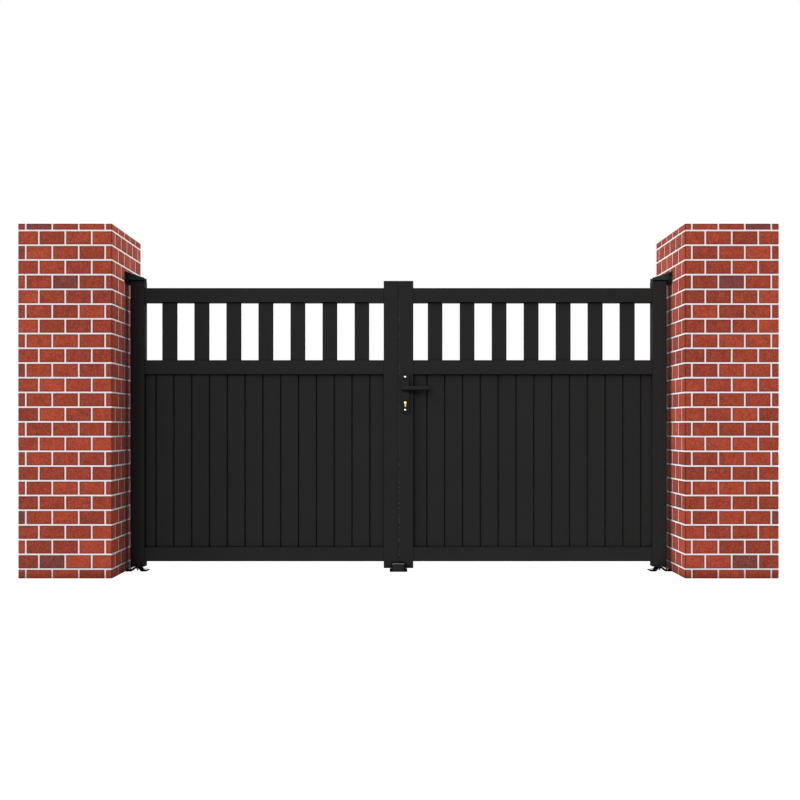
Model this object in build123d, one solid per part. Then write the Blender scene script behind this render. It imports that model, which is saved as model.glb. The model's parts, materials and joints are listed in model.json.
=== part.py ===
from build123d import *
import os

# Double-leaf driveway gate between two brick pillars, in millimetres.
# Z is up from the ground, X runs across the opening and Y points into the property.
# The origin is on the ground, in the middle of the opening and of the pillars' depth.

# Opening and pillars
opening_width = 3050
pillar_width = 500
pillar_depth = 500
pillar_height = 1890

# Leaves: one stile height, two stile positions
side_gap = 25
meeting_gap = 6
leaf_top = 1624
meeting_stile_clearance = 18
hinge_stile_clearance = 26

# Frame extrusion
frame_width = 80
frame_depth = 50
frame_wall = 3
frame_edge_radius = 1.5
bottom_rail_base = 56
mid_rail_base = 1101
top_rail_base = 1504

# Slats above the mid rail
slat_count = 7
slat_width = 82
slat_thickness = 20
slat_edge_radius = 3
slat_gap_at_meeting_stile = 81.5
slat_gap_at_hinge_stile = 94.5

# Boarded infill below the mid rail
board_thickness = 16
board_pitch = 100
first_board_width = 77
narrowest_board = 20
groove_width = 8
groove_depth = 5.5

# End caps and hinge bushes
cap_thickness = 6
cap_chamfer = 1
cap_spigot_length = 12
cap_spigot_wall = 3
bush_length = 24

# Hinge pins, their axis a little outside the middle of the stile
hinge_axis_offset = 6
pin_radius = 8
pin_running_clearance = 0.08
pin_plate_clearance = 0.3
pin_tip_chamfer = 2
pin_tip_gap = 2
pin_head_radius = 13
pin_head_height = 7
pin_collar_radius = 15
thrust_gap = 0.3
pin_tail_radius = 4.5
pin_tail_length = 14

# Top hinge bracket
wall_plate_width = 90
wall_plate_thickness = 6
wall_plate_base = 1610
wall_plate_top = 1674
wall_plate_hole_inset = 11
arm_gap = 5
arm_thickness = 6
arm_width = 50
arm_reach = 44
gusset_thickness = 6
gusset_tip_rise = 7

# Bottom hinge bracket, a folded hat profile
bottom_plate_thickness = 5
bottom_bracket_length = 60
bridge_height = 21
bridge_half_width = 17
bridge_leg_run = 12

# Anchor bolts
anchor_hole_radius = 5.5

# Floor stop
stop_base_width = 98
stop_base_front = -44
stop_base_back = 44
stop_base_thickness = 6
stop_base_corner_radius = 4
stop_leaf_gap = 0.3
stop_block_width = 78
stop_block_depth = 17
stop_block_height = 54
stop_block_round = 15
stop_front_round = 11
stop_bolt_spacing = 60
stop_bolt_y = 10

# Seal strip on the left leaf's meeting edge
seal_depth = 8
seal_mid_y = 17
seal_reach = 2.2
seal_round = 1

# Mortice lock, handle plates and cylinder
lever_axis_height = 1021
lever_axis_backset = 35
lock_face_width = 22
lock_face_length = 210
lock_face_center = 995
lock_case_depth = 60
lock_case_thickness = 16
lock_case_length = 170
strike_length = 150
strike_pocket_width = 13
strike_pocket_length = 34
strike_pocket_spacing = 78
plate_width = 46
plate_height = 220
plate_thickness = 8
plate_corner_radius = 6
plate_edge_chamfer = 1.5
plate_screw_radius = 2.75
plate_screw_inset = 18
cylinder_drop = 78
cylinder_radius = 8.5
cylinder_tail_width = 10
cylinder_height = 33
cylinder_projection = 5
cylinder_clearance = 0.5

# Lever handles on a square spindle
spindle_side = 8
spindle_clearance = 0.3
lever_neck_radius = 9
lever_grip_height = 26
lever_grip_depth = 17
lever_grip_chamfer = 2.5
lever_standoff = 27
lever_heel = 22
lever_reach = 132
lever_plate_gap = 0.3

# Places that follow from the values above
pillar_face_x = opening_width / 2
leaf_outer_x = pillar_face_x - side_gap
leaf_inner_x = meeting_gap / 2
meeting_stile_x = leaf_inner_x + frame_width / 2
hinge_stile_x = leaf_outer_x - frame_width / 2
hinge_x = hinge_stile_x + hinge_axis_offset
clear_near_x = leaf_inner_x + frame_width
clear_far_x = leaf_outer_x - frame_width
clear_width = clear_far_x - clear_near_x
clear_mid_x = (clear_near_x + clear_far_x) / 2
stile_bore_width = frame_width - 2 * frame_wall
stile_bore_depth = frame_depth - 2 * frame_wall
stile_front_y = -frame_depth / 2
leaf_cap_base = leaf_top - cap_thickness
lever_axis_x = leaf_inner_x + lever_axis_backset
cylinder_height_z = lever_axis_height - cylinder_drop


def place(x, y, z, shape):
    """Move a shape to a point of the gate."""
    return Pos(x, y, z) * shape


def drill(x, y, z_low, z_high, radius):
    """An upright round hole, as the solid that is cut away."""
    height = z_high - z_low
    return place(x, y, (z_low + z_high) / 2, Cylinder(radius, height))


def drill_level(x, z, y_low, y_high, radius):
    """A round hole along Y, as the solid that is cut away."""
    hole = Rot(90, 0, 0) * Cylinder(radius, y_high - y_low)
    return place(x, (y_low + y_high) / 2, z, hole)


def pillar():
    """The right pillar, one mass of brickwork."""
    mid_x = pillar_face_x + pillar_width / 2
    return place(mid_x, 0, pillar_height / 2, Box(pillar_width, pillar_depth, pillar_height))


def stile(mid_x, low, high):
    """A hollow upright of the leaf's frame."""
    outside = RectangleRounded(frame_width, frame_depth, frame_edge_radius)
    inside = Rectangle(stile_bore_width, stile_bore_depth)
    return place(mid_x, 0, low, extrude(outside - inside, high - low))


def rail(low):
    """A hollow cross rail between the two stiles."""
    outside = RectangleRounded(frame_depth, frame_width, frame_edge_radius)
    inside = Rectangle(stile_bore_depth, stile_bore_width)
    section = Plane.YZ * (outside - inside)
    return place(clear_near_x, 0, low + frame_width / 2, extrude(section, clear_width))


def slats():
    """The upright slats, with open gaps between them."""
    low = mid_rail_base + frame_width
    height = top_rail_base - low
    first_x = clear_near_x + slat_gap_at_meeting_stile + slat_width / 2
    last_x = clear_far_x - slat_gap_at_hinge_stile - slat_width / 2
    pitch = (last_x - first_x) / (slat_count - 1)
    section = RectangleRounded(slat_width, slat_thickness, slat_edge_radius)
    slat = extrude(section, height)
    return [place(first_x + i * pitch, 0, low, slat) for i in range(slat_count)]


def infill_boards():
    """Tongue and groove boards as one panel, with a V joint on both faces between boards."""
    low = bottom_rail_base + frame_width
    section = place(clear_mid_x, 0, 0, Rectangle(clear_width, board_thickness))
    notch = Rot(0, 0, 45) * Rectangle(groove_width / 2 ** 0.5, groove_width / 2 ** 0.5)
    stretch = 2 * groove_depth / groove_width
    notch = scale(notch, by=(1, stretch, 1))
    x = clear_near_x + first_board_width
    while x < clear_far_x - narrowest_board:
        for face_y in (-board_thickness / 2, board_thickness / 2):
            section -= place(x, face_y, 0, notch)
        x += board_pitch
    return place(0, 0, low, extrude(section, mid_rail_base - low))


def end_cap():
    """A push-in cap for a stile's end, its outer face up and its seat at Z 0."""
    plate = extrude(RectangleRounded(frame_width, frame_depth, frame_edge_radius), cap_thickness)
    plate = chamfer(plate.edges().group_by(Axis.Z)[-1], cap_chamfer)
    spigot = Rectangle(stile_bore_width, stile_bore_depth)
    spigot -= Rectangle(stile_bore_width - 2 * cap_spigot_wall, stile_bore_depth - 2 * cap_spigot_wall)
    return plate + extrude(spigot, -cap_spigot_length)


def meeting_stile_caps():
    """The top and bottom caps of the meeting stile."""
    bottom = Rot(180, 0, 0) * end_cap()
    bottom_seat = meeting_stile_clearance + cap_thickness
    return [
        place(meeting_stile_x, 0, leaf_cap_base, end_cap()),
        place(meeting_stile_x, 0, bottom_seat, bottom),
    ]


def hinge_bush():
    """A cap with a block under it that carries the hinge pin, its seat at Z 0."""
    plate = extrude(RectangleRounded(frame_width, frame_depth, frame_edge_radius), cap_thickness)
    plate = chamfer(plate.edges().group_by(Axis.Z)[-1], cap_chamfer)
    block = extrude(Rectangle(stile_bore_width, stile_bore_depth), -bush_length)
    bore = drill(hinge_axis_offset, 0, -bush_length, cap_thickness, pin_radius + pin_running_clearance)
    return plate + block - bore


def top_hinge_bush():
    return place(hinge_stile_x, 0, leaf_cap_base, hinge_bush())


def bottom_hinge_bush():
    seat = hinge_stile_clearance + cap_thickness
    return place(hinge_stile_x, 0, seat, Rot(180, 0, 0) * hinge_bush())


def top_hinge_bracket():
    """Wall plate, arm and two tapered gussets, welded into one piece."""
    plate_x = pillar_face_x - wall_plate_thickness
    plate_height = wall_plate_top - wall_plate_base
    plate_mid_z = (wall_plate_base + wall_plate_top) / 2
    bracket = place(
        pillar_face_x - wall_plate_thickness / 2,
        0,
        plate_mid_z,
        Box(wall_plate_thickness, wall_plate_width, plate_height),
    )
    arm_base = leaf_top + arm_gap
    arm_top = arm_base + arm_thickness
    arm_tip_x = hinge_x - arm_reach
    arm_length = plate_x - arm_tip_x
    bracket += place((plate_x + arm_tip_x) / 2, 0, arm_base + arm_thickness / 2,
                     Box(arm_length, arm_width, arm_thickness))
    gusset_line = Polyline(
        (arm_tip_x, arm_top),
        (arm_tip_x, arm_top + gusset_tip_rise),
        (plate_x, wall_plate_top),
        (plate_x, arm_top),
        close=True,
    )
    gusset = extrude(Plane.XZ * make_face(gusset_line), gusset_thickness)
    outer_y = arm_width / 2
    bracket += place(0, outer_y, 0, gusset)
    bracket += place(0, gusset_thickness - outer_y, 0, gusset)
    bracket -= drill(hinge_x, 0, arm_base, arm_top, pin_radius + pin_plate_clearance)
    hole = Rot(0, 90, 0) * Cylinder(anchor_hole_radius, wall_plate_thickness)
    for y in (-1, 1):
        for z in (-1, 1):
            bracket -= place(
                pillar_face_x - wall_plate_thickness / 2,
                y * (wall_plate_width / 2 - wall_plate_hole_inset),
                plate_mid_z + z * (plate_height / 2 - wall_plate_hole_inset),
                hole,
            )
    return bracket


def top_hinge_pin():
    """A headed pin that drops through the arm into the stile's top bush."""
    arm_top = leaf_top + arm_gap + arm_thickness
    tip = leaf_cap_base - bush_length + pin_tip_gap
    shank = drill(hinge_x, 0, tip, arm_top, pin_radius)
    shank = chamfer(shank.edges().group_by(Axis.Z)[0], pin_tip_chamfer)
    head = drill(hinge_x, 0, arm_top, arm_top + pin_head_height, pin_head_radius)
    head = chamfer(head.edges().group_by(Axis.Z)[-1], pin_tip_chamfer)
    return shank + head


def trapezoid(bottom_half, top_half, height):
    """An upright trapezium in the XZ plane, standing on Z 0."""
    outline = Polyline(
        (-bottom_half, 0), (bottom_half, 0), (top_half, height), (-top_half, height), close=True
    )
    return Plane.XZ * make_face(outline)


def bottom_hinge_bracket():
    """A plate folded into a hat: two bolted feet and a raised bridge for the pin."""
    rise = bridge_height - bottom_plate_thickness
    slope = bridge_leg_run / rise
    skin = bottom_plate_thickness * (1 + slope ** 2) ** 0.5
    foot_half = pillar_face_x - hinge_x
    outer = trapezoid(bridge_half_width + slope * bridge_height, bridge_half_width, bridge_height)
    inner_top = bridge_half_width + slope * bottom_plate_thickness - skin
    inner = trapezoid(inner_top + slope * rise, inner_top, rise)
    feet = trapezoid(foot_half, foot_half, bottom_plate_thickness)
    half_length = bottom_bracket_length / 2
    bracket = extrude(outer, half_length, both=True) + extrude(feet, half_length, both=True)
    bracket -= extrude(inner, half_length, both=True)
    bracket -= drill(0, 0, rise, bridge_height, pin_radius + pin_plate_clearance)
    bolt_x = bracket_bolt_x()
    for x in (-bolt_x, bolt_x):
        bracket -= drill(x, 0, 0, bottom_plate_thickness, anchor_hole_radius)
    return place(hinge_x, 0, 0, bracket)


def bracket_bolt_x():
    """How far the bolts stand from the pin: the middle of each flat foot."""
    leg_foot = bridge_half_width + bridge_leg_run
    return (leg_foot + pillar_face_x - hinge_x) / 2


def bottom_hinge_pin():
    """A pin whose collar stands on the bridge and carries the leaf."""
    collar_top = hinge_stile_clearance - thrust_gap
    bridge_base = bridge_height - bottom_plate_thickness
    tip = hinge_stile_clearance + cap_thickness + bush_length - pin_tip_gap
    shank = drill(hinge_x, 0, bridge_base, tip, pin_radius)
    shank = chamfer(shank.edges().group_by(Axis.Z)[-1], pin_tip_chamfer)
    collar = drill(hinge_x, 0, bridge_height, collar_top, pin_collar_radius)
    tail = drill(hinge_x, 0, bridge_base - pin_tail_length, bridge_base, pin_tail_radius)
    return shank + collar + tail


def floor_stop():
    """A rounded block on a bolted base plate, in front of the meeting stiles."""
    base_depth = stop_base_back - stop_base_front
    base_mid_y = (stop_base_back + stop_base_front) / 2
    base = extrude(
        RectangleRounded(stop_base_width, base_depth, stop_base_corner_radius), stop_base_thickness
    )
    stop = place(0, base_mid_y, 0, base)
    block_back = stile_front_y - stop_leaf_gap
    block_mid_y = block_back - stop_block_depth / 2
    block_height = stop_block_height - stop_base_thickness
    block = Box(stop_block_width, stop_block_depth, block_height)
    block = fillet(block.edges().filter_by(Axis.Y).group_by(Axis.Z)[-1], stop_block_round)
    block = fillet(block.faces().sort_by(Axis.Y)[0].edges().group_by(Axis.Z)[1:], stop_front_round)
    stop += place(0, block_mid_y, stop_base_thickness + block_height / 2, block)
    for x in (-stop_bolt_spacing / 2, stop_bolt_spacing / 2):
        stop -= drill(x, stop_bolt_y, 0, stop_base_thickness, anchor_hole_radius)
    return stop


def cylinder_section(clearance):
    """The lock cylinder's keyhole outline, seen along Y, round part up."""
    radius = cylinder_radius + clearance
    tail_low = cylinder_radius - cylinder_height - clearance
    tail_half = cylinder_tail_width / 2 + clearance
    tail = Pos(0, tail_low / 2) * Rectangle(2 * tail_half, -tail_low)
    return Plane.XZ * (Circle(radius) + tail)


def cylinder_body(y_low, y_high, clearance):
    """The cylinder's outline drawn out along Y, at its place in the leaf."""
    body = extrude(cylinder_section(clearance), y_high - y_low)
    return place(lever_axis_x, y_high, cylinder_height_z, body)


def lock_cylinder():
    reach = frame_depth / 2 + plate_thickness + cylinder_projection
    return cylinder_body(-reach, reach, 0)


def edge_slot(length):
    """The slot in a meeting edge that a lock or strike plate lies in."""
    return place(
        leaf_inner_x + frame_wall / 2, 0, lock_face_center, Box(frame_wall, lock_face_width, length)
    )


def mortice_lock():
    """Face plate and case in the right meeting stile, with holes for spindle and cylinder."""
    lock = edge_slot(lock_face_length)
    case_x = leaf_inner_x + frame_wall + lock_case_depth / 2
    lock += place(case_x, 0, lock_face_center,
                  Box(lock_case_depth, lock_case_thickness, lock_case_length))
    half = lock_case_thickness / 2
    lock -= cylinder_body(-half, half, cylinder_clearance)
    spindle_reach = spindle_side / 2 ** 0.5
    lock -= drill_level(lever_axis_x, lever_axis_height, -half, half, spindle_reach + spindle_clearance)
    return lock


def strike_plate():
    """The flush plate in the left meeting stile, with a pocket for latch and for bolt."""
    plate = edge_slot(strike_length)
    for z in (-strike_pocket_spacing / 2, strike_pocket_spacing / 2):
        plate -= place(leaf_inner_x + frame_wall / 2, 0, lock_face_center + z,
                       Box(frame_wall, strike_pocket_width, strike_pocket_length))
    return plate


def right_meeting_stile():
    """The meeting stile that is cut for the lock, the spindle and the cylinder."""
    upright = stile(meeting_stile_x, meeting_stile_clearance + cap_thickness, leaf_cap_base)
    upright -= edge_slot(lock_face_length)
    half = frame_depth / 2
    upright -= cylinder_body(-half, half, cylinder_clearance)
    return upright - drill_level(lever_axis_x, lever_axis_height, -half, half, lever_neck_radius)


def left_meeting_stile():
    """The meeting stile that is cut for the strike plate, drawn on the right side."""
    upright = stile(meeting_stile_x, meeting_stile_clearance + cap_thickness, leaf_cap_base)
    return upright - edge_slot(strike_length)


def handle_plate():
    """The front back plate, with holes for the spindle, the cylinder and two screws."""
    back_y = stile_front_y
    front_y = back_y - plate_thickness
    section = Plane.XZ * RectangleRounded(plate_width, plate_height, plate_corner_radius)
    plate = extrude(section, plate_thickness)
    plate = chamfer(plate.edges().group_by(Axis.Y)[0], plate_edge_chamfer)
    plate = place(lever_axis_x, back_y, lock_face_center, plate)
    plate -= cylinder_body(front_y, back_y, cylinder_clearance)
    plate -= drill_level(lever_axis_x, lever_axis_height, front_y, back_y, lever_neck_radius - 2)
    for z in (-1, 1):
        screw_z = lock_face_center + z * (plate_height / 2 - plate_screw_inset)
        plate -= drill_level(lever_axis_x, screw_z, front_y, back_y, plate_screw_radius)
    return plate


def lever():
    """The front lever: a neck over the spindle and an oval grip."""
    plate_front_y = stile_front_y - plate_thickness
    neck_base_y = plate_front_y - lever_plate_gap
    grip_y = plate_front_y - lever_standoff
    handle = drill_level(lever_axis_x, lever_axis_height, grip_y, neck_base_y, lever_neck_radius)
    section = Plane.YZ * Ellipse(lever_grip_depth / 2, lever_grip_height / 2)
    grip = extrude(section, lever_heel + lever_reach)
    for end in (0, -1):
        grip = chamfer(grip.edges().group_by(Axis.X)[end], lever_grip_chamfer)
    handle += place(lever_axis_x - lever_heel, grip_y, lever_axis_height, grip)
    return handle - spindle()


def spindle():
    """The square bar that both levers turn on."""
    reach = frame_depth / 2 + plate_thickness + lever_standoff - lever_grip_depth / 4
    return place(lever_axis_x, 0, lever_axis_height, Box(spindle_side, 2 * reach, spindle_side))


def meeting_seal():
    """The strip that closes the gap between the meeting stiles, drawn on the right side."""
    near_x = -seal_reach
    section = RectangleRounded(leaf_inner_x - near_x, seal_depth, seal_round)
    strip = extrude(section, leaf_top - meeting_stile_clearance)
    return place((leaf_inner_x + near_x) / 2, seal_mid_y, meeting_stile_clearance, strip)


def side_pieces():
    """The pieces that both sides have, drawn on the right side."""
    return {
        "pillar": pillar(),
        "top_hinge_bracket": top_hinge_bracket(),
        "top_hinge_pin": top_hinge_pin(),
        "bottom_hinge_bracket": bottom_hinge_bracket(),
        "bottom_hinge_pin": bottom_hinge_pin(),
        "hinge_stile": stile(hinge_stile_x, hinge_stile_clearance + cap_thickness, leaf_cap_base),
        "top_rail": rail(top_rail_base),
        "mid_rail": rail(mid_rail_base),
        "bottom_rail": rail(bottom_rail_base),
        "slats": slats(),
        "infill_boards": infill_boards(),
        "top_hinge_bush": top_hinge_bush(),
        "bottom_hinge_bush": bottom_hinge_bush(),
        "meeting_stile_caps": meeting_stile_caps(),
    }


def as_list(shape):
    """A sub-part's solids, whether it is one shape or several."""
    return shape if isinstance(shape, list) else [shape]


def mirrored(shape):
    """The same sub-part on the other side of the opening."""
    return [mirror(piece, about=Plane.YZ) for piece in as_list(shape)]


def build():
    """All nodes of the gate, by name."""
    nodes = {}
    for name, shape in side_pieces().items():
        nodes["right_" + name] = as_list(shape)
        nodes["left_" + name] = mirrored(shape)
    nodes["right_meeting_stile"] = [right_meeting_stile()]
    nodes["left_meeting_stile"] = mirrored(left_meeting_stile())
    nodes["strike_plate"] = mirrored(strike_plate())
    nodes["meeting_seal"] = mirrored(meeting_seal())
    nodes["mortice_lock"] = [mortice_lock()]
    nodes["lock_cylinder"] = [lock_cylinder()]
    nodes["front_handle_plate"] = [handle_plate()]
    nodes["rear_handle_plate"] = [mirror(handle_plate(), about=Plane.XZ)]
    nodes["front_lever"] = [lever()]
    nodes["rear_lever"] = [mirror(lever(), about=Plane.XZ)]
    nodes["lever_spindle"] = [spindle()]
    nodes["floor_stop"] = [floor_stop()]
    return nodes


def write(nodes):
    """One STEP file for each node, named after it."""
    os.makedirs("parts", exist_ok=True)
    for name, shapes in nodes.items():
        solids = [solid for shape in shapes for solid in shape.solids()]
        body = solids[0] if len(solids) == 1 else Compound(children=solids)
        export_step(body, f"parts/{name}.step")


write(build())
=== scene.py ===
import json
import math
import random

import bmesh
import bpy
from mathutils import Matrix, Vector


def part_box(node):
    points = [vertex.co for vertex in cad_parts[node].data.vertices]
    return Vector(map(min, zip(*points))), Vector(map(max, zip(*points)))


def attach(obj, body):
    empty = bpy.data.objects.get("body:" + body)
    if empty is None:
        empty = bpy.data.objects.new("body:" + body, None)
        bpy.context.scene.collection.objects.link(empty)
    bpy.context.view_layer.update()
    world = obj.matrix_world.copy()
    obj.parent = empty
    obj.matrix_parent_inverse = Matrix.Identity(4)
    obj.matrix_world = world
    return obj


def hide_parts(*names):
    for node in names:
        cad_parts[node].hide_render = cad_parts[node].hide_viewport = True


# Double-leaf driveway gate between brick pillars, in metres, Z up, seen along +Y.

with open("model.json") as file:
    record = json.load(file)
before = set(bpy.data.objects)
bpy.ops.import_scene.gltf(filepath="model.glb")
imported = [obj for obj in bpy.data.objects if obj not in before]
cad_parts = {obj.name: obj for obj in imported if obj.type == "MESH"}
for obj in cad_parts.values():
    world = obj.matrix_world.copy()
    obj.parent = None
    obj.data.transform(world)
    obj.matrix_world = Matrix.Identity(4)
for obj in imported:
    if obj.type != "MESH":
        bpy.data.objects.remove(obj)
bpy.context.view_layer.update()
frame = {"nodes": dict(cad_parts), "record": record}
nodes = frame["nodes"]

# Camera of the photograph, in pixels of its 800 by 800 frame
IMAGE_SIZE = 800
FOCAL_PX = 846
PRINCIPAL_PX = (398.5, 427.0)
SENSOR_WIDTH = 36.0
CAMERA_PLACE = (0.0, -4.754, 0.807)

# Studio light: name, azimuth from the camera's side to its left, elevation, disc, all in degrees,
# and strength
SUNS = (
    ("front", 12, 20, 30, 0.90),
    ("front_left", 30, 20, 30, 0.85),
    ("left_high", 75, 30, 30, 2.65),
    ("right_back", -120, 15, 20, 0.20),
    ("right_low", -91, 10, 18, 1.95),
    ("back", 180, 25, 16, 2.20),
)
WORLD_LIGHT = 0.09
FLOOR_COLOR = (0.4, 0.4, 0.4)
FLOOR_GLOW = 0.9
FLOOR_SIZE = 30

# Linear colours: the dark and the light end of each coat, and the metals
# Black: also the painted shade in small gaps, round the screws and on the floor stop's top
BLACK = (0.0015, 0.0015, 0.0015)
COAT_COLORS = ((0.0168, 0.0170, 0.0168), (0.0260, 0.0263, 0.0260))
HINGE_COLORS = ((0.022, 0.026, 0.026), (0.038, 0.044, 0.044))
FOOT_COLORS = (BLACK, (0.004, 0.004, 0.004))
BRUSH_COLORS = ((0.019, 0.019, 0.019), (0.029, 0.029, 0.029))
STOP_HIGHLIGHT = (0.14, 0.14, 0.14)
BRIGHT_STEEL = (0.82, 0.82, 0.83)
SATIN_STEEL = (0.42, 0.42, 0.43)
PIN_STEEL = (0.05, 0.05, 0.055)
BRASS = (0.50, 0.34, 0.10)
PLUG_BRASS = (0.95, 0.86, 0.62)

# Band of a noise's values that is spread over a material's range
NOISE_BAND = (0.3, 0.7)

# Widths of the painted shade on the edges of the powder coat and the lock cylinder, and how well
# the rounded normal agrees with the true one where such an edge begins and where it is full
COAT_EDGE = 0.004
METAL_EDGE = 0.003
EDGE_AGREEMENT = (0.995, 0.88)

# Height of the normal where the shade under the coat is full and where it ends, and what it leaves
# of the colour
UNDERSIDE_NORMAL = (-0.75, -0.1)
UNDERSIDE_SHADE = 0.25

# How near another piece darkens a surface, what is left of its colour there, and for each material
# the openness at which that shade is full and at which it ends
CREVICE_REACH = 0.12
CREVICE_SHADE = 0.1
COAT_OPENNESS = (0.20, 0.72)
STOP_OPENNESS = (0.12, 0.58)
BRICK_OPENNESS = (0.2, 0.8)

# Brickwork: beds and joints, how far the bricks reach in, and each brick's chamfer and rim, with
# what the painted shade leaves of its colour on the chamfer
BED_PITCH = 0.0784
FIRST_BED = 0.0504
JOINT = 0.0068
SIDE_JOINT = 0.0055
JOINT_DEPTH = 0.001
BRICK_DEPTH = 0.1
BRICK_CHAMFER = 0.002
BRICK_RIM = 0.0075
RIM_SHADE = 0.35

# Largest share of half a brick that its chamfer or rim takes
RIM_LIMIT = 0.45

# Upright joints of the two kinds of course, from the pillar's outer corner and from its front
FRONT_JOINTS = ((0.040, 0.181, 0.322, 0.463), (0.1095, 0.2505, 0.3915))
SIDE_JOINTS = ((0.107, 0.205, 0.305, 0.403), (0.053, 0.152, 0.250, 0.350, 0.449))

# Tones of the bricks, 0 the brightest and 1 the darkest. Some off the front face are dark by chance.
BRICK_SEED = 11
LEAST_TONE = 0.08
TONE_SPREAD = 0.70
DARK_CHANCE = 0.04
DARK_TONE = 0.98

# Dark bricks of the front face: course counted from the top, brick counted from the outside
DARK_BRICKS = {(0, 1), (4, 2), (20, 0), (23, 1)}

# Anchor places and plate thicknesses that the frame's boxes don't give
BRACKET_BOLT_X = 0.044
BRACKET_FOOT = 0.005
WALL_PLATE = 0.006
WALL_PLATE_HEIGHT = 0.064
WALL_BOLT_INSET = 0.011
STOP_BOLT_X = 0.03
STOP_BOLT_Y = 0.01
STOP_BASE = 0.006

# Washer and head of an anchor, as (radius, height) points
WASHER = ((0, 0), (0.0095, 0), (0.0100, 0.0004), (0.0100, 0.0016), (0.0095, 0.002), (0, 0.002))
BOLT_HEAD = (
    (0, 0.002),
    (0.0088, 0.002),
    (0.0092, 0.0026),
    (0.0092, 0.0072),
    (0.0082, 0.0084),
    (0, 0.0084),
)

# Screws of the handle plates: how far they stand from the plates' ends, and their raised heads
SCREW_INSET = 0.018
SCREW_RADIUS = 0.0054
SCREW_SINK = 0.001
SCREW_RIM = 0.0006
SCREW_RISE = 0.0024
SCREW_STEPS = 6

# Lock cylinder: its round part's middle below its top, the plug's (radius, height) points and the
# key slot
BOW_DROP = 0.0085
PLUG = ((0, -0.002), (0.0054, -0.002), (0.0054, 0.0002), (0.005, 0.0004), (0, 0.0004))
KEY_SLOT = (0.0014, 0.0003, 0.009)

# Black discs of painted shade round the screws and round the cylinder, which end a little below
# its foot
SCREW_PAINTED_SHADE = 0.0112
BOW_PAINTED_SHADE = 0.0142
PAINTED_SHADE_SINK = 0.0005
PAINTED_SHADE_RISE = 0.0003
PAINTED_SHADE_WIDTH = 0.0200
PAINTED_SHADE_FOOT = 0.003

# Pad between a top hinge bush and its bracket, black as painted shade in that gap, and how far its
# middle lies above the bush
PAD = (0.076, 0.047, 0.0046)
PAD_LIFT = 0.0029

# How far the meeting seal's bristles reach, just short of the right leaf, and the brush before
# them, which leaves room for that leaf's front corner as it starts to swing
BRISTLE_TIP = 0.00296
BRISTLE_INSET = 0.002
BRUSH_TIP = 0.0026
BRUSH_FRONT = -0.0243
BRUSH_ROOT = 0.0001
BRUSH_OVERLAP = 0.003


def new_material(name):
    """A node material with its principled shader, ready to be linked."""
    material = bpy.data.materials.new(name)
    material.use_nodes = True
    shader = material.node_tree.nodes["Principled BSDF"]
    return material, material.node_tree, shader


def add_node(tree, kind, **values):
    """A shader node with some of its properties or inputs set by name."""
    node = tree.nodes.new(kind)
    for key, value in values.items():
        if key in node.inputs:
            node.inputs[key].default_value = value
        else:
            setattr(node, key, value)
    return node


def object_coordinates(tree):
    return add_node(tree, "ShaderNodeTexCoord").outputs["Object"]


def noise(tree, vector, scale, detail=4.0, roughness=0.55):
    texture = add_node(tree, "ShaderNodeTexNoise")
    texture.inputs["Scale"].default_value = scale
    texture.inputs["Detail"].default_value = detail
    texture.inputs["Roughness"].default_value = roughness
    tree.links.new(vector, texture.inputs["Vector"])
    return texture.outputs["Fac"]


def remap(tree, value, low, high, new_low, new_high):
    """The value taken from one range to another, clamped."""
    node = add_node(tree, "ShaderNodeMapRange")
    node.inputs["From Min"].default_value = low
    node.inputs["From Max"].default_value = high
    node.inputs["To Min"].default_value = new_low
    node.inputs["To Max"].default_value = new_high
    tree.links.new(value, node.inputs["Value"])
    return node.outputs["Result"]


def math_node(tree, operation, first, second):
    node = add_node(tree, "ShaderNodeMath", operation=operation)
    for i, value in enumerate((first, second)):
        if isinstance(value, (int, float)):
            node.inputs[i].default_value = value
        else:
            tree.links.new(value, node.inputs[i])
    return node.outputs[0]


def ramp(tree, value, stops):
    """A colour ramp over the value, from (place, colour) stops."""
    node = add_node(tree, "ShaderNodeValToRGB")
    elements = node.color_ramp.elements
    while len(elements) < len(stops):
        elements.new(0.5)
    for element, (place, color) in zip(elements, stops):
        element.position = place
        element.color = (*color, 1)
    tree.links.new(value, node.inputs["Fac"])
    return node.outputs["Color"]


def mix_color(tree, factor, first, second, mode="MIX"):
    node = add_node(tree, "ShaderNodeMix", data_type="RGBA", blend_type=mode)
    for socket, value in (("Factor", factor), ("A", first), ("B", second)):
        target = [s for s in node.inputs if s.name == socket and s.type in ("VALUE", "RGBA")]
        target = target[0] if socket == "Factor" else target[-1]
        if isinstance(value, (int, float)):
            target.default_value = value
        elif isinstance(value, tuple):
            target.default_value = (*value, 1)
        else:
            tree.links.new(value, target)
    return [s for s in node.outputs if s.type == "RGBA"][0]


def bump(tree, shader, height, strength, distance):
    node = add_node(tree, "ShaderNodeBump")
    node.inputs["Strength"].default_value = strength
    node.inputs["Distance"].default_value = distance
    tree.links.new(height, node.inputs["Height"])
    tree.links.new(node.outputs["Normal"], shader.inputs["Normal"])


def near_edges(tree, radius):
    """How near an edge the surface is, from how far a rounded normal turns away from the true one."""
    rounded = add_node(tree, "ShaderNodeBevel", samples=6)
    rounded.inputs["Radius"].default_value = radius
    flat = add_node(tree, "ShaderNodeNewGeometry")
    agree = add_node(tree, "ShaderNodeVectorMath", operation="DOT_PRODUCT")
    tree.links.new(rounded.outputs["Normal"], agree.inputs[0])
    tree.links.new(flat.outputs["Normal"], agree.inputs[1])
    return remap(tree, agree.outputs["Value"], *EDGE_AGREEMENT, 0.0, 1.0)


def crevice_shade(tree, color, closed, opened):
    """The colour with painted shade where something else stands close: in gaps, behind the stiles and
    brackets.
    """
    nearness = add_node(tree, "ShaderNodeAmbientOcclusion", samples=8)
    nearness.inputs["Distance"].default_value = CREVICE_REACH
    openness = remap(tree, nearness.outputs["AO"], closed, opened, CREVICE_SHADE, 1.0)
    return mix_color(tree, 1.0, color, openness, "MULTIPLY")


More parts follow.
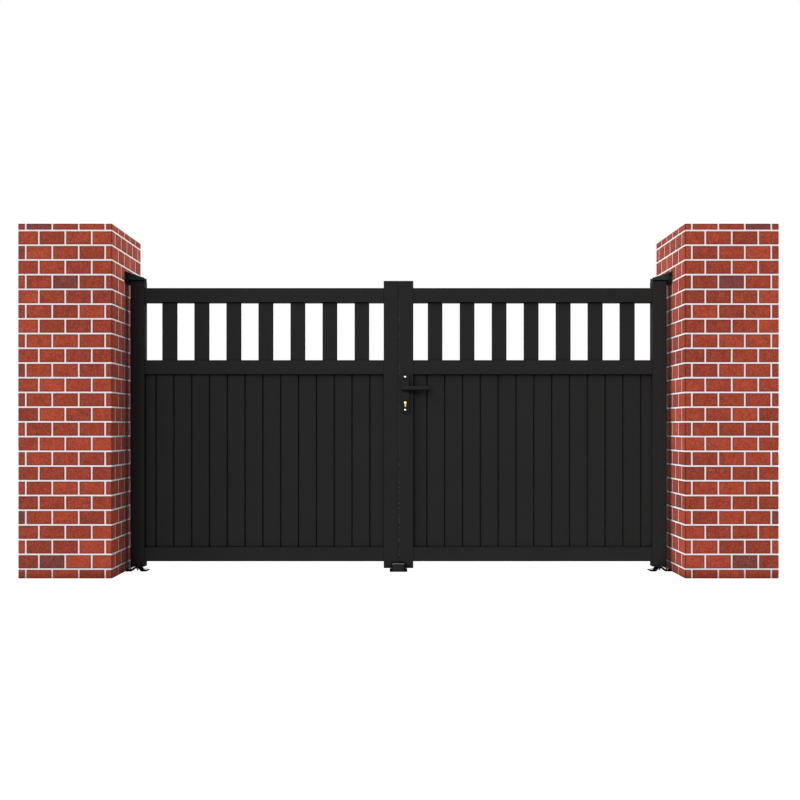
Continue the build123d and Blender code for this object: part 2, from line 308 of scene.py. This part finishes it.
def underside_shade(tree, color):
    """The colour with painted shade where the surface faces the ground."""
    normal = add_node(tree, "ShaderNodeTexCoord").outputs["Normal"]
    axes = add_node(tree, "ShaderNodeSeparateXYZ")
    tree.links.new(normal, axes.inputs["Vector"])
    facing = remap(tree, axes.outputs["Z"], *UNDERSIDE_NORMAL, UNDERSIDE_SHADE, 1.0)
    return mix_color(tree, 1.0, color, facing, "MULTIPLY")


def powder_coat(name, colors, specular, edge_shade):
    """Matt powder coat with its fine grain, between two colours, with painted shade on edges, undersides
    and in gaps.
    """
    low, high = colors
    material, tree, shader = new_material(name)
    place = object_coordinates(tree)
    cloud = noise(tree, place, 3.0)
    grain = noise(tree, place, 1100.0, 2.0)
    shade = math_node(tree, "ADD", remap(tree, cloud, *NOISE_BAND, -0.04, 0.04),
                      remap(tree, grain, *NOISE_BAND, 0.42, 0.58))
    color = underside_shade(tree, ramp(tree, shade, ((0.3, low), (0.7, high))))
    edge = remap(tree, near_edges(tree, COAT_EDGE), 0, 1, 1.0, edge_shade)
    color = mix_color(tree, 1.0, color, edge, "MULTIPLY")
    color = crevice_shade(tree, color, *COAT_OPENNESS)
    tree.links.new(color, shader.inputs["Base Color"])
    shader.inputs["Specular IOR Level"].default_value = specular
    tree.links.new(remap(tree, cloud, *NOISE_BAND, 0.6, 0.7), shader.inputs["Roughness"])
    bump(tree, shader, grain, 0.25, 0.0003)
    return material


def stop_coat(low, high, highlight):
    """Black coat with a painted highlight on the floor stop's rounded front edge, painted shade on its
    top and sides.
    """
    material, tree, shader = new_material("stop_coat")
    normal = add_node(tree, "ShaderNodeTexCoord").outputs["Normal"]
    axes = add_node(tree, "ShaderNodeSeparateXYZ")
    tree.links.new(normal, axes.inputs["Vector"])
    # Painted highlight on the lower part of the rounded front edge, painted shade on its upper part and
    # the top
    color = ramp(tree, axes.outputs["Z"], (
        (0.0, high),
        (0.06, highlight),
        (0.4, highlight),
        (0.6, low),
    ))
    # Painted shade on the faces that turn sideways
    sideways = math_node(tree, "ABSOLUTE", axes.outputs["X"], 0.0)
    color = mix_color(tree, 1.0, color, remap(tree, sideways, 0.15, 0.7, 1.0, 0.15), "MULTIPLY")
    tree.links.new(crevice_shade(tree, color, *STOP_OPENNESS), shader.inputs["Base Color"])
    shader.inputs["Specular IOR Level"].default_value = 0.0
    shader.inputs["Roughness"].default_value = 0.7
    return material


def plain_material(name, color):
    """One matt colour, for the painted shade in small dark gaps and round the screws."""
    material, _, shader = new_material(name)
    shader.inputs["Base Color"].default_value = (*color, 1)
    shader.inputs["Specular IOR Level"].default_value = 0.0
    shader.inputs["Roughness"].default_value = 0.8
    return material


def brick_material():
    """Fired clay: a tone for each brick, sandy speckle, small pits, painted shade on the arrises."""
    material, tree, shader = new_material("brick")
    place = object_coordinates(tree)
    tone = add_node(tree, "ShaderNodeAttribute", attribute_name="tone")
    channels = add_node(tree, "ShaderNodeSeparateColor")
    tree.links.new(tone.outputs["Color"], channels.inputs["Color"])
    shift = add_node(tree, "ShaderNodeVectorMath", operation="SCALE")
    tree.links.new(tone.outputs["Color"], shift.inputs[0])
    shift.inputs["Scale"].default_value = 7.0
    moved = add_node(tree, "ShaderNodeVectorMath", operation="ADD")
    tree.links.new(place, moved.inputs[0])
    tree.links.new(shift.outputs["Vector"], moved.inputs[1])
    base = ramp(tree, channels.outputs["Red"], (
        (0.0, (0.450, 0.068, 0.030)),
        (0.45, (0.345, 0.051, 0.024)),
        (0.85, (0.275, 0.042, 0.022)),
        (0.93, (0.235, 0.050, 0.038)),
        (1.0, (0.190, 0.047, 0.042)),
    ))
    sand = noise(tree, moved.outputs[0], 150.0, 3.0, 0.75)
    blotch = noise(tree, moved.outputs[0], 34.0, 4.0)
    mottled = mix_color(tree, 1.0, base, remap(tree, blotch, *NOISE_BAND, 1.16, 0.82), "MULTIPLY")
    grained = mix_color(tree, 1.0, mottled, remap(tree, sand, *NOISE_BAND, 0.50, 1.52), "MULTIPLY")
    specks = remap(tree, noise(tree, moved.outputs[0], 240.0, 2.0), 0.58, 0.68, 0.0, 0.55)
    speckled = mix_color(tree, specks, grained, (0.56, 0.24, 0.18))
    pits = remap(tree, noise(tree, moved.outputs[0], 190.0, 1.0), 0.30, 0.38, 0.65, 0.0)
    pitted = mix_color(tree, pits, speckled, (0.09, 0.03, 0.026))
    # Painted shade on each brick's chamfer and rim, from the tone's second channel
    shaded = mix_color(tree, 1.0, pitted, channels.outputs["Green"], "MULTIPLY")
    tree.links.new(crevice_shade(tree, shaded, *BRICK_OPENNESS), shader.inputs["Base Color"])
    shader.inputs["Roughness"].default_value = 0.9
    shader.inputs["Specular IOR Level"].default_value = 0.15
    height = math_node(tree, "ADD", sand, math_node(tree, "MULTIPLY", blotch, 1.5))
    bump(tree, shader, height, 0.5, 0.0012)
    return material


def mortar_material():
    """Pale, slightly pink pointing mortar with sand in it, and painted shade near other pieces."""
    material, tree, shader = new_material("mortar")
    place = object_coordinates(tree)
    sand = noise(tree, place, 500.0, 3.0, 0.7)
    cloud = noise(tree, place, 14.0)
    color = ramp(tree, sand, ((0.25, (0.78, 0.68, 0.70)), (0.6, (0.94, 0.86, 0.88))))
    stained = mix_color(tree, remap(tree, cloud, 0.4, 0.75, 0.0, 0.2), color, (0.72, 0.58, 0.57))
    tree.links.new(crevice_shade(tree, stained, *BRICK_OPENNESS), shader.inputs["Base Color"])
    shader.inputs["Roughness"].default_value = 0.95
    shader.inputs["Specular IOR Level"].default_value = 0.1
    bump(tree, shader, sand, 0.4, 0.0008)
    return material


def metal_material(name, color, roughness, edge_shade=1.0):
    """Bare metal with a fine uneven polish, with painted shade on its edges where asked."""
    material, tree, shader = new_material(name)
    grain = noise(tree, object_coordinates(tree), 900.0, 3.0)
    darker = tuple(0.8 * c for c in color)
    polish = ramp(tree, grain, ((0.35, darker), (0.6, color)))
    if edge_shade < 1.0:
        edge = remap(tree, near_edges(tree, METAL_EDGE), 0, 1, 1.0, edge_shade)
        polish = mix_color(tree, 1.0, polish, edge, "MULTIPLY")
    tree.links.new(polish, shader.inputs["Base Color"])
    shader.inputs["Metallic"].default_value = 1.0
    uneven = remap(tree, grain, *NOISE_BAND, roughness - 0.05, roughness + 0.08)
    tree.links.new(uneven, shader.inputs["Roughness"])
    bump(tree, shader, grain, 0.08, 0.0001)
    return material


def link_mesh(name, mesh, material):
    piece = bpy.data.objects.new(name, mesh)
    bpy.context.scene.collection.objects.link(piece)
    piece.data.materials.append(material)
    return piece


def toned_mesh(name, vertices, faces, tones):
    """A mesh of the given faces, with a tone on each vertex that also holds the bricks' painted shade.
    """
    mesh = bpy.data.meshes.new(name)
    mesh.from_pydata(vertices, [], faces)
    layer = mesh.color_attributes.new("tone", "FLOAT_COLOR", "POINT")
    for point, tone in zip(layer.data, tones):
        point.color = (*tone, 1.0)
    mesh.update()
    return mesh


class Bricks:
    """Gathers the bricks of one pillar into one mesh."""

    def __init__(self):
        self.vertices = []
        self.faces = []
        self.tones = []

    def add(self, low, high, tone, rng):
        """One brick from corner to corner, its arrises worn, with painted shade on them."""
        center = [(a + b) / 2 for a, b in zip(low, high)]
        half = [(b - a) / 2 for a, b in zip(low, high)]
        seed = rng.random()
        index = {}
        for axis in range(3):
            for side in (-1, 1):
                for ring, inset, shade in ((0, BRICK_CHAMFER, RIM_SHADE), (1, BRICK_RIM, 1.0)):
                    for u in (-1, 1):
                        for v in (-1, 1):
                            point = [0.0, 0.0, 0.0]
                            point[axis] = side * half[axis]
                            a, b = (axis + 1) % 3, (axis + 2) % 3
                            point[a] = u * (half[a] - min(inset, RIM_LIMIT * half[a]))
                            point[b] = v * (half[b] - min(inset, RIM_LIMIT * half[b]))
                            index[axis, side, ring, u, v] = len(self.vertices)
                            self.vertices.append([c + p for c, p in zip(center, point)])
                            self.tones.append((tone, shade, seed))
        self.add_faces(index)
        self.add_arrises(index)

    def add_faces(self, index):
        """The six sides, each an inner field and four rim strips."""
        loop = ((-1, -1), (1, -1), (1, 1), (-1, 1))
        for axis in range(3):
            for side in (-1, 1):
                outer = [index[axis, side, 0, u, v] for u, v in loop]
                inner = [index[axis, side, 1, u, v] for u, v in loop]
                quads = [inner]
                for i in range(4):
                    j = (i + 1) % 4
                    quads.append([outer[i], outer[j], inner[j], inner[i]])
                for quad in quads:
                    self.faces.append(quad if side > 0 else quad[::-1])

    def add_arrises(self, index):
        """The twelve chamfered edges and eight corners between the sides."""
        for axis in range(3):
            a, b = (axis + 1) % 3, (axis + 2) % 3
            for sa in (-1, 1):
                for sb in (-1, 1):
                    quad = [
                        index[a, sa, 0, sb, -1],
                        index[a, sa, 0, sb, 1],
                        index[b, sb, 0, 1, sa],
                        index[b, sb, 0, -1, sa],
                    ]
                    self.faces.append(quad if sa * sb > 0 else quad[::-1])
        for x in (-1, 1):
            for y in (-1, 1):
                for z in (-1, 1):
                    corner = [index[0, x, 0, y, z], index[1, y, 0, z, x], index[2, z, 0, x, y]]
                    self.faces.append(corner if x * y * z > 0 else corner[::-1])


def course_bricks(kind, width, depth, filled):
    """The bricks of one course in plan, from the outside front corner: boxes and a front index."""
    front = FRONT_JOINTS[kind]
    side = SIDE_JOINTS[kind]
    gap = JOINT / 2
    side_gap = SIDE_JOINT / 2
    boxes = []
    ends_u = (0.0, *front, width)
    ends_v = (0.0, *side, depth)
    last_u = len(ends_u) - 2
    last_v = len(ends_v) - 2
    for i in range(last_u + 1):
        low_u = ends_u[i] + (gap if i > 0 else 0)
        high_u = ends_u[i + 1] - (gap if i < last_u else 0)
        corner = i in (0, last_u)
        for back in (False, True):
            reach = (ends_v[1] if not back else depth - ends_v[-2]) if corner else BRICK_DEPTH
            reach -= side_gap if corner else gap
            low_v, high_v = (depth - reach, depth) if back else (0.0, reach)
            boxes.append((low_u, high_u, low_v, high_v, None if back else i))
    for j in range(1, last_v):
        low_v = ends_v[j] + side_gap
        high_v = ends_v[j + 1] - side_gap
        for far in (False, True):
            reach = min(BRICK_DEPTH, front[0] if not far else width - front[-1]) - gap
            low_u, high_u = (width - reach, width) if far else (0.0, reach)
            boxes.append((low_u, high_u, low_v, high_v, None))
    if filled:
        near = min(BRICK_DEPTH, front[0])
        far = width - min(BRICK_DEPTH, width - front[-1])
        boxes += core_bricks(near, far, depth)
    return boxes


def core_bricks(near, far, depth):
    """The bricks inside the ring of the top course, three rows of them."""
    rows = 3
    low, high = BRICK_DEPTH, depth - BRICK_DEPTH
    step = (high - low) / rows
    boxes = []
    for row in range(rows):
        ends = (near, (near + far) / 2, far)
        if row % 2:
            ends = (near, near + 0.25 * (far - near), near + 0.75 * (far - near), far)
        for u, v in zip(ends, ends[1:]):
            boxes.append((u + JOINT / 2, v - JOINT / 2,
                          low + row * step + JOINT / 2, low + (row + 1) * step - JOINT / 2, None))
    return boxes


def build_pillar(side_name, sign, brick, mortar):
    """The bricks and the mortar of one pillar, in place of its CAD block."""
    node = f"{side_name}_pillar"
    low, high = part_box(node)
    width = high.x - low.x
    depth = high.y - low.y
    rng = random.Random(BRICK_SEED)
    beds = [0.0]
    level = FIRST_BED
    while level < high.z:
        beds.append(level)
        level += BED_PITCH
    beds.append(high.z)
    courses = len(beds) - 1
    bricks = Bricks()
    for course in range(courses):
        from_top = courses - 1 - course
        bottom = beds[course] + (JOINT / 2 if course else 0)
        top = beds[course + 1] - (JOINT / 2 if from_top else 0)
        for u0, u1, v0, v1, front_index in course_bricks(from_top % 2, width, depth, from_top == 0):
            tone = LEAST_TONE + TONE_SPREAD * rng.random()
            if rng.random() < DARK_CHANCE and front_index is None:
                tone = DARK_TONE
            if (from_top, front_index) in DARK_BRICKS:
                tone = DARK_TONE
            x0 = low.x + u0 if sign < 0 else high.x - u1
            x1 = low.x + u1 if sign < 0 else high.x - u0
            bricks.add((x0, low.y + v0, bottom), (x1, low.y + v1, top), tone, rng)
    mesh = toned_mesh(f"{node}_bricks", bricks.vertices, bricks.faces, bricks.tones)
    piece = link_mesh(f"{node}_bricks", mesh, brick)
    core = mortar_core(f"{node}_mortar", low, high, mortar)
    for part in (piece, core):
        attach(part, "root")
        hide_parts(node)


def mortar_core(name, low, high, material):
    """The mortar between the bricks: a block whose faces lie just behind theirs."""
    inset = Vector((JOINT_DEPTH, JOINT_DEPTH, 0))
    a = low + inset
    b = high - inset - Vector((0, 0, JOINT_DEPTH))
    work = bmesh.new()
    bmesh.ops.create_cube(work, size=1)
    for vertex in work.verts:
        vertex.co = Vector(b[i] if vertex.co[i] > 0 else a[i] for i in range(3))
    bmesh.ops.bevel(work, geom=list(work.edges), offset=BRICK_CHAMFER, segments=2, affect="EDGES")
    mesh = bpy.data.meshes.new(name)
    work.to_mesh(mesh)
    work.free()
    return link_mesh(name, mesh, material)


def turned(work, profile, place, turn, segments=32):
    """Adds a lathe shape to the bmesh: (radius, height) points about Z, then turned and placed."""
    rings = []
    matrix = Matrix.Translation(place) @ turn
    for radius, height in profile:
        if radius == 0:
            rings.append([work.verts.new(matrix @ Vector((0, 0, height)))])
            continue
        ring = []
        for i in range(segments):
            angle = 2 * math.pi * i / segments
            point = Vector((radius * math.cos(angle), radius * math.sin(angle), height))
            ring.append(work.verts.new(matrix @ point))
        rings.append(ring)
    for lower, upper in zip(rings, rings[1:]):
        for i in range(segments):
            j = (i + 1) % segments
            if len(lower) == 1:
                corners = [lower[0], upper[i], upper[j]]
            elif len(upper) == 1:
                corners = [lower[i], lower[j], upper[0]]
            else:
                corners = [lower[i], lower[j], upper[j], upper[i]]
            work.faces.new(corners[::-1])


def add_block(work, center, size):
    """Adds a box to the bmesh by its middle and its three sizes."""
    bmesh.ops.create_cube(work, size=1, matrix=Matrix.Translation(center) @ Matrix.Diagonal((*size, 1)))


def finish_bmesh(name, work, material, body, smooth=True):
    """Turns the bmesh into a piece of the scene that rides on the body."""
    bmesh.ops.recalc_face_normals(work, faces=work.faces)
    mesh = bpy.data.meshes.new(name)
    work.to_mesh(mesh)
    work.free()
    for polygon in mesh.polygons:
        polygon.use_smooth = smooth
    piece = link_mesh(name, mesh, material)
    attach(piece, body)


# Turns that point a lathe's axis along a row axis
UP = Matrix.Identity(4)
FRONT = Matrix.Rotation(math.radians(90), 4, "X")
BACK = Matrix.Rotation(math.radians(-90), 4, "X")
TO_RIGHT = Matrix.Rotation(math.radians(90), 4, "Y")
TO_LEFT = Matrix.Rotation(math.radians(-90), 4, "Y")


def plate_faces():
    """The two handle plates: the middle of each outer face, its two screw heights and its turn."""
    for node, turn in (("front_handle_plate", FRONT), ("rear_handle_plate", BACK)):
        low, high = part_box(node)
        x = (low.x + high.x) / 2
        y = low.y if turn is FRONT else high.y
        yield x, y, (low.z + SCREW_INSET, high.z - SCREW_INSET), turn


def painted_shade_disc(work, place, turn, radius):
    """A black ring of painted shade round a screw or the cylinder."""
    profile = ((0, -PAINTED_SHADE_SINK), (radius, -PAINTED_SHADE_SINK), (radius, PAINTED_SHADE_RISE), (0, PAINTED_SHADE_RISE))
    turned(work, profile, place, turn)


def plate_painted_shade(material):
    """Black discs of painted shade round the handle plates' screws and lock cylinder."""
    work = bmesh.new()
    cylinder_low, cylinder_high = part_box("lock_cylinder")
    bow = cylinder_high.z - BOW_DROP
    foot = cylinder_low.z - PAINTED_SHADE_FOOT
    for x, y, screw_heights, turn in plate_faces():
        for z in screw_heights:
            painted_shade_disc(work, Vector((x, y, z)), turn, SCREW_PAINTED_SHADE)
        painted_shade_disc(work, Vector((x, y, bow)), turn, BOW_PAINTED_SHADE)
        add_block(work, (x, y, (bow + foot) / 2), (PAINTED_SHADE_WIDTH, 2 * PAINTED_SHADE_RISE, bow - foot))
    finish_bmesh("handle_plate_painted_shade", work, material, "right_leaf", False)


def top_bracket_pads(material):
    """The black pad under each top bracket's arm, which closes the gap over the stile as painted shade.
    """
    for side in ("left", "right"):
        low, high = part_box(f"{side}_top_hinge_bush")
        work = bmesh.new()
        add_block(work, ((low.x + high.x) / 2, 0, high.z + PAD_LIFT), PAD)
        finish_bmesh(f"{side}_top_bracket_pad", work, material, "root", False)


def plate_screws(material):
    """Bright raised-head screws that hold the two handle plates."""
    profile = [(0, -SCREW_SINK), (SCREW_RADIUS, -SCREW_SINK), (SCREW_RADIUS, SCREW_RIM)]
    for step in range(1, SCREW_STEPS):
        angle = step / SCREW_STEPS * math.pi / 2
        dome = (SCREW_RISE - SCREW_RIM) * math.sin(angle)
        profile.append((SCREW_RADIUS * math.cos(angle), SCREW_RIM + dome))
    profile.append((0, SCREW_RISE))
    work = bmesh.new()
    for x, y, screw_heights, turn in plate_faces():
        for z in screw_heights:
            turned(work, profile, Vector((x, y, z)), turn)
    finish_bmesh("handle_plate_screws", work, material, "right_leaf")


def anchor_bolt(work, place, turn):
    """A washer with a hexagon head on it."""
    turned(work, WASHER, place, turn)
    turned(work, BOLT_HEAD, place, turn, 6)


def anchor_bolts(material, zinc):
    """The anchors of both bottom brackets, both wall plates and the floor stop."""
    for side, sign, turn in (("left", -1, TO_RIGHT), ("right", 1, TO_LEFT)):
        low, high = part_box(f"{side}_bottom_hinge_bracket")
        mid = (low + high) / 2
        work = bmesh.new()
        for x in (-BRACKET_BOLT_X, BRACKET_BOLT_X):
            anchor_bolt(work, Vector((mid.x + x, mid.y, low.z + BRACKET_FOOT)), UP)
        finish_bmesh(f"{side}_bottom_bracket_bolts", work, zinc, "root", False)
        low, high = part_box(f"{side}_top_hinge_bracket")
        face_x = (low.x if sign < 0 else high.x) - sign * WALL_PLATE
        work = bmesh.new()
        for y in (low.y + WALL_BOLT_INSET, high.y - WALL_BOLT_INSET):
            for z in (high.z - WALL_BOLT_INSET, high.z - WALL_PLATE_HEIGHT + WALL_BOLT_INSET):
                anchor_bolt(work, Vector((face_x, y, z)), turn)
        finish_bmesh(f"{side}_wall_plate_bolts", work, material, "root", False)
    work = bmesh.new()
    for x in (-STOP_BOLT_X, STOP_BOLT_X):
        anchor_bolt(work, Vector((x, STOP_BOLT_Y, STOP_BASE)), UP)
    finish_bmesh("floor_stop_bolts", work, material, "root", False)


def seal_bristles(material):
    """The bristles of the meeting seal and the brush before them, which close the gap."""
    low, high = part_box("meeting_seal")
    bristles_low = Vector((high.x - BRISTLE_INSET, low.y + BRISTLE_INSET, low.z))
    bristles_high = Vector((BRISTLE_TIP, high.y - BRISTLE_INSET, high.z))
    brush_low = Vector((low.x + BRUSH_ROOT, BRUSH_FRONT, low.z))
    brush_high = Vector((BRUSH_TIP, low.y + BRUSH_OVERLAP, high.z))
    work = bmesh.new()
    for a, b in ((bristles_low, bristles_high), (brush_low, brush_high)):
        add_block(work, (a + b) / 2, b - a)
    finish_bmesh("meeting_seal_bristles", work, material, "left_leaf", False)


def key_plugs(plug, slot):
    """The turning plug on each end of the lock cylinder, with its key slot."""
    low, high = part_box("lock_cylinder")
    work = bmesh.new()
    slots = bmesh.new()
    for y, turn in ((low.y, FRONT), (high.y, BACK)):
        place = Vector(((low.x + high.x) / 2, y, high.z - BOW_DROP))
        turned(work, PLUG, place, turn)
        add_block(slots, place, KEY_SLOT)
    finish_bmesh("lock_cylinder_plugs", work, plug, "right_leaf")
    finish_bmesh("lock_cylinder_key_slots", slots, slot, "right_leaf", False)


def dress_cad_nodes(materials):
    """Gives each CAD node that stays its finish, by the record's slot or by its place."""
    slots = {part["node"]: part["material_slot"] for part in frame["record"]["subparts"]}
    for name, piece in nodes.items():
        if slots[name] == "brickwork":
            continue
        piece.data.materials.clear()
        finish = "bottom_bracket" if name.endswith("bottom_hinge_bracket") else slots[name]
        finish = "stop" if name == "floor_stop" else finish
        piece.data.materials.append(materials[finish])


def add_camera():
    """The photograph's camera: level, with its centre of view shifted."""
    camera = bpy.data.cameras.new("camera")
    camera.sensor_width = SENSOR_WIDTH
    camera.lens = FOCAL_PX * SENSOR_WIDTH / IMAGE_SIZE
    camera.shift_x = 0.5 - PRINCIPAL_PX[0] / IMAGE_SIZE
    camera.shift_y = PRINCIPAL_PX[1] / IMAGE_SIZE - 0.5
    holder = bpy.data.objects.new("camera", camera)
    holder.location = CAMERA_PLACE
    holder.rotation_euler = (math.radians(90), 0, 0)
    bpy.context.scene.collection.objects.link(holder)
    bpy.context.scene.camera = holder


def seen_rays(tree):
    """1 for camera, glossy and transmission rays, 0 for the rays that light the object."""
    light_path = add_node(tree, "ShaderNodeLightPath")
    seen = math_node(tree, "MAXIMUM", light_path.outputs["Is Camera Ray"],
                     light_path.outputs["Is Glossy Ray"])
    return math_node(tree, "MAXIMUM", seen, light_path.outputs["Is Transmission Ray"])


def add_world(strength):
    """An even white studio, seen as white and lighting the object more softly."""
    world = bpy.data.worlds.new("studio")
    bpy.context.scene.world = world
    world.use_nodes = True
    tree = world.node_tree
    background = tree.nodes["Background"]
    background.inputs["Color"].default_value = (1, 1, 1, 1)
    level = remap(tree, seen_rays(tree), 0, 1, strength, 1.0)
    tree.links.new(level, background.inputs["Strength"])


def add_sun(name, azimuth, elevation, disc, strength):
    """A far, soft lamp: azimuth in degrees from the camera's side, positive to its left."""
    lamp = bpy.data.lights.new(name, "SUN")
    lamp.energy = strength
    lamp.angle = math.radians(disc)
    turn = math.radians(azimuth)
    rise = math.radians(elevation)
    toward = Vector((-math.sin(turn) * math.cos(rise), -math.cos(turn) * math.cos(rise), math.sin(rise)))
    holder = bpy.data.objects.new(name, lamp)
    holder.rotation_euler = toward.to_track_quat("Z", "Y").to_euler()
    bpy.context.scene.collection.objects.link(holder)


def add_floor():
    """A pale floor that looks white where it is lit and keeps the soft shadows."""
    work = bmesh.new()
    bmesh.ops.create_grid(work, x_segments=1, y_segments=1, size=FLOOR_SIZE)
    mesh = bpy.data.meshes.new("floor")
    work.to_mesh(mesh)
    work.free()
    material, tree, shader = new_material("floor")
    shader.inputs["Base Color"].default_value = (*FLOOR_COLOR, 1)
    shader.inputs["Roughness"].default_value = 0.9
    shader.inputs["Specular IOR Level"].default_value = 0.0
    shader.inputs["Emission Color"].default_value = (1, 1, 1, 1)
    glow = remap(tree, seen_rays(tree), 0, 1, 0.0, FLOOR_GLOW)
    tree.links.new(glow, shader.inputs["Emission Strength"])
    floor = link_mesh("floor", mesh, material)


def build():
    """Dresses the CAD pieces, adds the bricks and small parts, and sets up the studio."""
    coat = powder_coat("powder_coat", COAT_COLORS, 0.015, 0.08)
    brush = powder_coat("seal_brush", BRUSH_COLORS, 0.0, 1.0)
    # Black of the painted shade round the screws and under the top brackets' arms
    dark = plain_material("painted_shade_black", BLACK)
    bare = metal_material("bright_steel", BRIGHT_STEEL, 0.22)
    brass = metal_material("brass", BRASS, 0.3, 0.12)
    plug_brass = metal_material("plug_brass", PLUG_BRASS, 0.2)
    brick = brick_material()
    mortar = mortar_material()
    dress_cad_nodes({
        "powder_coat": coat,
        "hinge_steel": powder_coat("hinge_coat", HINGE_COLORS, 0.02, 0.2),
        "pin_steel": metal_material("pin_steel", PIN_STEEL, 0.4),
        "brass": brass,
        "lock_steel": metal_material("satin_steel", SATIN_STEEL, 0.35),
        "seal_rubber": brush,
        "bottom_bracket": powder_coat("foot_coat", FOOT_COLORS, 0.0, 0.5),
        "stop": stop_coat(BLACK, COAT_COLORS[1], STOP_HIGHLIGHT),
    })
    build_pillar("left", -1, brick, mortar)
    build_pillar("right", 1, brick, mortar)
    plate_screws(bare)
    plate_painted_shade(dark)
    top_bracket_pads(dark)
    anchor_bolts(coat, bare)
    key_plugs(plug_brass, brass)
    seal_bristles(brush)
    add_camera()
    add_world(WORLD_LIGHT)
    add_floor()
    for lamp in SUNS:
        add_sun(*lamp)
    bpy.context.scene.view_settings.view_transform = "Standard"


build()
